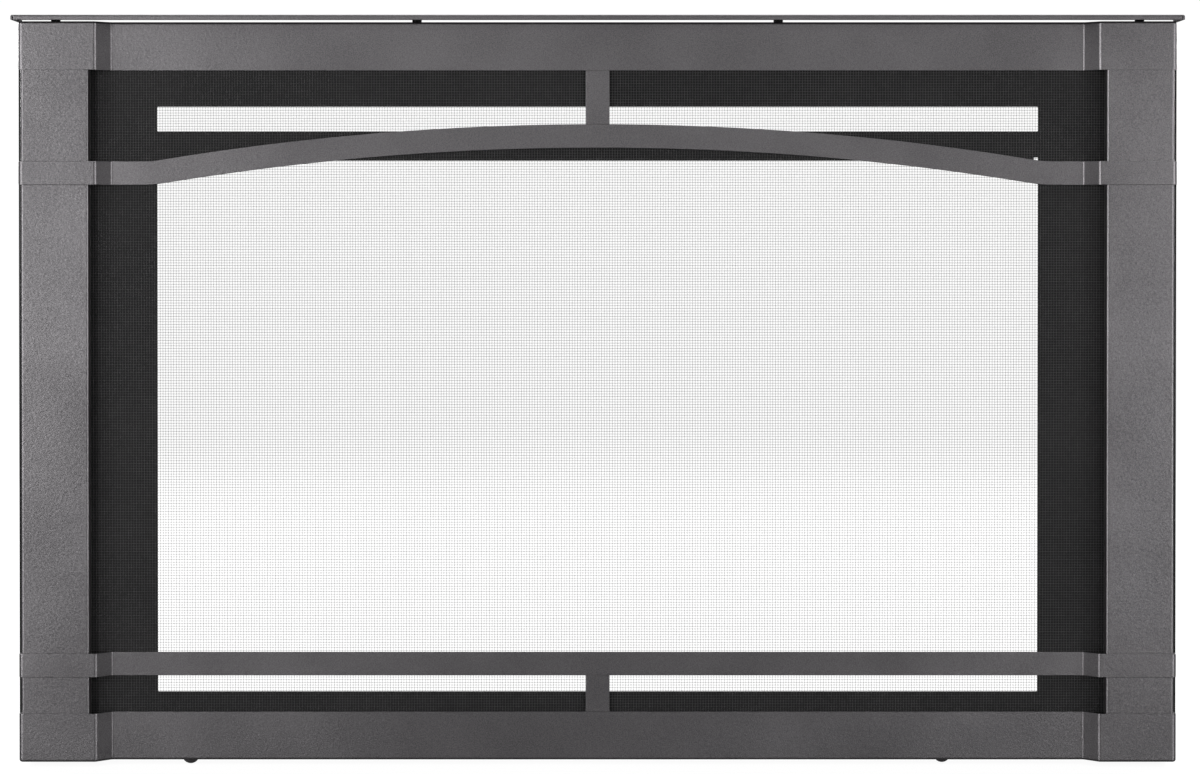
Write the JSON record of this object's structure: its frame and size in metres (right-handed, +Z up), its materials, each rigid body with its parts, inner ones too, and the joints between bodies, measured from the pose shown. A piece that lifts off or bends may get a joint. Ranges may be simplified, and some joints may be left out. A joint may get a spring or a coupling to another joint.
{
  "type": "fireplace screen front",
  "caption": "Decorative front for a fireplace: sheet-steel columns, stepped rails, arched strap and shelf before a black panel with windows and wire cloth, hung by rear hooks.",
  "frame": {"origin": "bottom centre of the whole front, in its middle plane left to right and halfway through its depth", "axes": "+X to the right as seen from the front, +Y towards the fireplace, +Z up; the front faces -Y"},
  "size_m": [0.9224, 0.06, 0.5921],
  "materials": {
    "graphite": "fine textured graphite powder coat, satin",
    "black_sheet": "matte black heat-resistant paint",
    "black_wire": "black painted woven wire, satin",
    "zinc": "bright zinc plating"
  },
  "bodies": {
    "root": {"top_rail": "graphite", "bottom_rail": "graphite", "left_column": "graphite", "right_column": "graphite", "arch_strap": "graphite", "lower_strap": "graphite", "upper_center_post": "graphite", "lower_center_post": "graphite", "top_shelf": "graphite", "shelf_spacers": "black_sheet", "shelf_studs": "zinc", "shelf_nuts": "zinc", "back_panel": "black_sheet", "mesh_screen": "black_wire", "left_side_bracket": "black_sheet", "right_side_bracket": "black_sheet", "left_mesh_strip": "black_sheet", "right_mesh_strip": "black_sheet", "strip_rivets": "zinc", "rail_studs": "zinc", "rail_nuts": "zinc", "column_screws": "zinc", "left_hanging_hook": "black_sheet", "right_hanging_hook": "black_sheet", "hook_screws": "zinc", "hook_nuts": "zinc", "foot_buttons": "graphite"}
  },
  "joints": []
}
